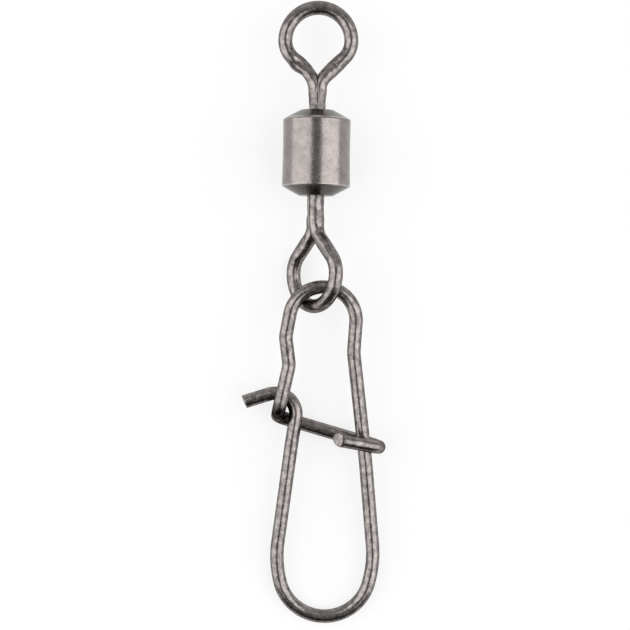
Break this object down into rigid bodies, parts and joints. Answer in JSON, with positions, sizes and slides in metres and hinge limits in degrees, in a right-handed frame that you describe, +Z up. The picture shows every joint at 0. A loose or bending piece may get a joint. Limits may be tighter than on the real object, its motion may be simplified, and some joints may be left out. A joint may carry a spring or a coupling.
{
  "type": "fishing snap swivel",
  "caption": "Rolling barrel swivel with a fixed line eye at one end and, in the turning eye at the other, a hooked wire snap that opens to take a lure.",
  "frame": {"origin": "centre of the line eye, on the swivel's spin axis", "axes": "+Y along the spin axis from the snap to the line eye, +Z up from the floor the part lies on, +X to the side on which the snap's cross bar is wrapped"},
  "size_m": [0.0109, 0.047, 0.0052],
  "materials": {
    "barrel_plating": "dark nickel plated brass, turned and tumbled satin",
    "eye_wire": "dark nickel plated drawn wire, swaged at the shank",
    "collar_brass": "plain turned brass",
    "snap_spring_wire": "dark nickel plated hard drawn spring wire, sheared ends"
  },
  "bodies": {
    "barrel": {"barrel": "barrel_plating"},
    "line_eye": {"upper_eye": "eye_wire", "upper_collar": "collar_brass"},
    "snap_eye": {"lower_eye": "eye_wire", "lower_collar": "collar_brass"},
    "snap": {"snap_wire": "snap_spring_wire"}
  },
  "joints": [
    {"name": "line_eye_spin", "type": "hinge", "parent": "barrel", "child": "line_eye", "pos_m": [0, -0.005, 0], "axis": [0, 1, 0], "continuous": true},
    {"name": "snap_eye_spin", "type": "hinge", "parent": "barrel", "child": "snap_eye", "pos_m": [0, -0.012, 0], "axis": [0, 1, 0], "continuous": true},
    {"name": "snap_swing", "type": "hinge", "parent": "snap_eye", "child": "snap", "pos_m": [0, -0.01846, 0.00021], "axis": [-1, 0, 0], "range_deg": [-4, 150]}
  ]
}
